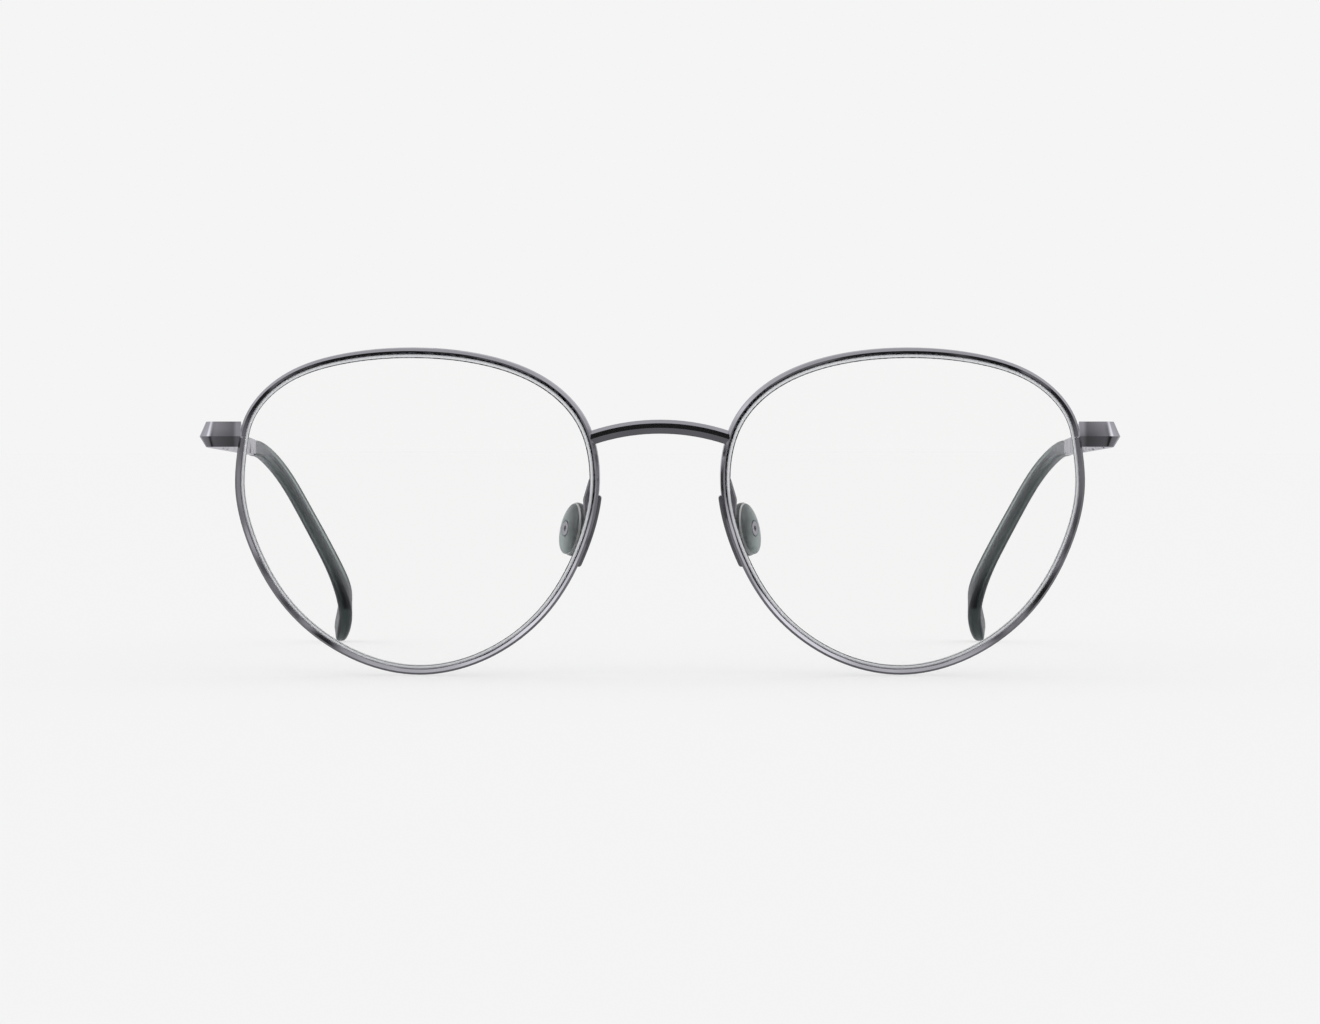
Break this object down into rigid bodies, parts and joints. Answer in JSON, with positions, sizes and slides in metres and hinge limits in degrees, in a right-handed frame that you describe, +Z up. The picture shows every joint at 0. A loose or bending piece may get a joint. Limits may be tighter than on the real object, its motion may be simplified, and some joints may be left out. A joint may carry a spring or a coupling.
{
  "type": "round wire eyeglasses",
  "caption": "Round full-rim metal spectacles with an arched bridge, silicone nose pads on wire arms, and folding temples with curved plastic tips.",
  "frame": {"origin": "on the floor, under the middle of the standing glasses", "axes": "+X to the wearer's left, +Y from the front back along the temples, +Z up"},
  "size_m": [0.1348, 0.1416, 0.0479],
  "materials": {
    "gunmetal": "polished dark gunmetal plating",
    "bright_steel": "polished",
    "lens": "clear, polished, with a ground edge",
    "silicone": "smoky translucent silicone",
    "tip_plastic": "smoky grey-green translucent acetate"
  },
  "bodies": {
    "front": {"bridge": "gunmetal", "rim_left": "gunmetal", "lens_left": "lens", "end_piece_left": "gunmetal", "closing_block_upper_left": "gunmetal", "closing_block_lower_left": "gunmetal", "closing_screw_left": "bright_steel", "hinge_front_left": "gunmetal", "hinge_screw_left": "bright_steel", "pad_arm_left": "gunmetal", "rim_right": "gunmetal", "lens_right": "lens", "end_piece_right": "gunmetal", "closing_block_upper_right": "gunmetal", "closing_block_lower_right": "gunmetal", "closing_screw_right": "bright_steel", "hinge_front_right": "gunmetal", "hinge_screw_right": "bright_steel", "pad_arm_right": "gunmetal"},
    "temple_left": {"temple_shaft_left": "gunmetal", "hinge_temple_left": "gunmetal", "temple_tip_left": "tip_plastic"},
    "temple_right": {"temple_shaft_right": "gunmetal", "hinge_temple_right": "gunmetal", "temple_tip_right": "tip_plastic"},
    "pad_left": {"nose_pad_left": "silicone", "pad_insert_left": "bright_steel", "pad_screw_left": "bright_steel"},
    "pad_right": {"nose_pad_right": "silicone", "pad_insert_right": "bright_steel", "pad_screw_right": "bright_steel"}
  },
  "joints": [
    {"name": "temple_left_fold", "type": "hinge", "parent": "front", "child": "temple_left", "pos_m": [0.0641, -0.05926, 0.03505], "axis": [0, 0.0297, 0.9996], "range_deg": [0, 85]},
    {"name": "temple_right_fold", "type": "hinge", "parent": "front", "child": "temple_right", "pos_m": [-0.0641, -0.05926, 0.03505], "axis": [0, -0.0297, -0.9996], "range_deg": [0, 74]},
    {"name": "pad_left_rock", "type": "hinge", "parent": "front", "child": "pad_left", "pos_m": [0.01245, -0.05924, 0.02129], "axis": [-0.37, -0.916, -0.1552], "range_deg": [-10, 10]},
    {"name": "pad_right_rock", "type": "hinge", "parent": "front", "child": "pad_right", "pos_m": [-0.01245, -0.05924, 0.02129], "axis": [0.37, -0.916, -0.1552], "range_deg": [-10, 10]}
  ]
}
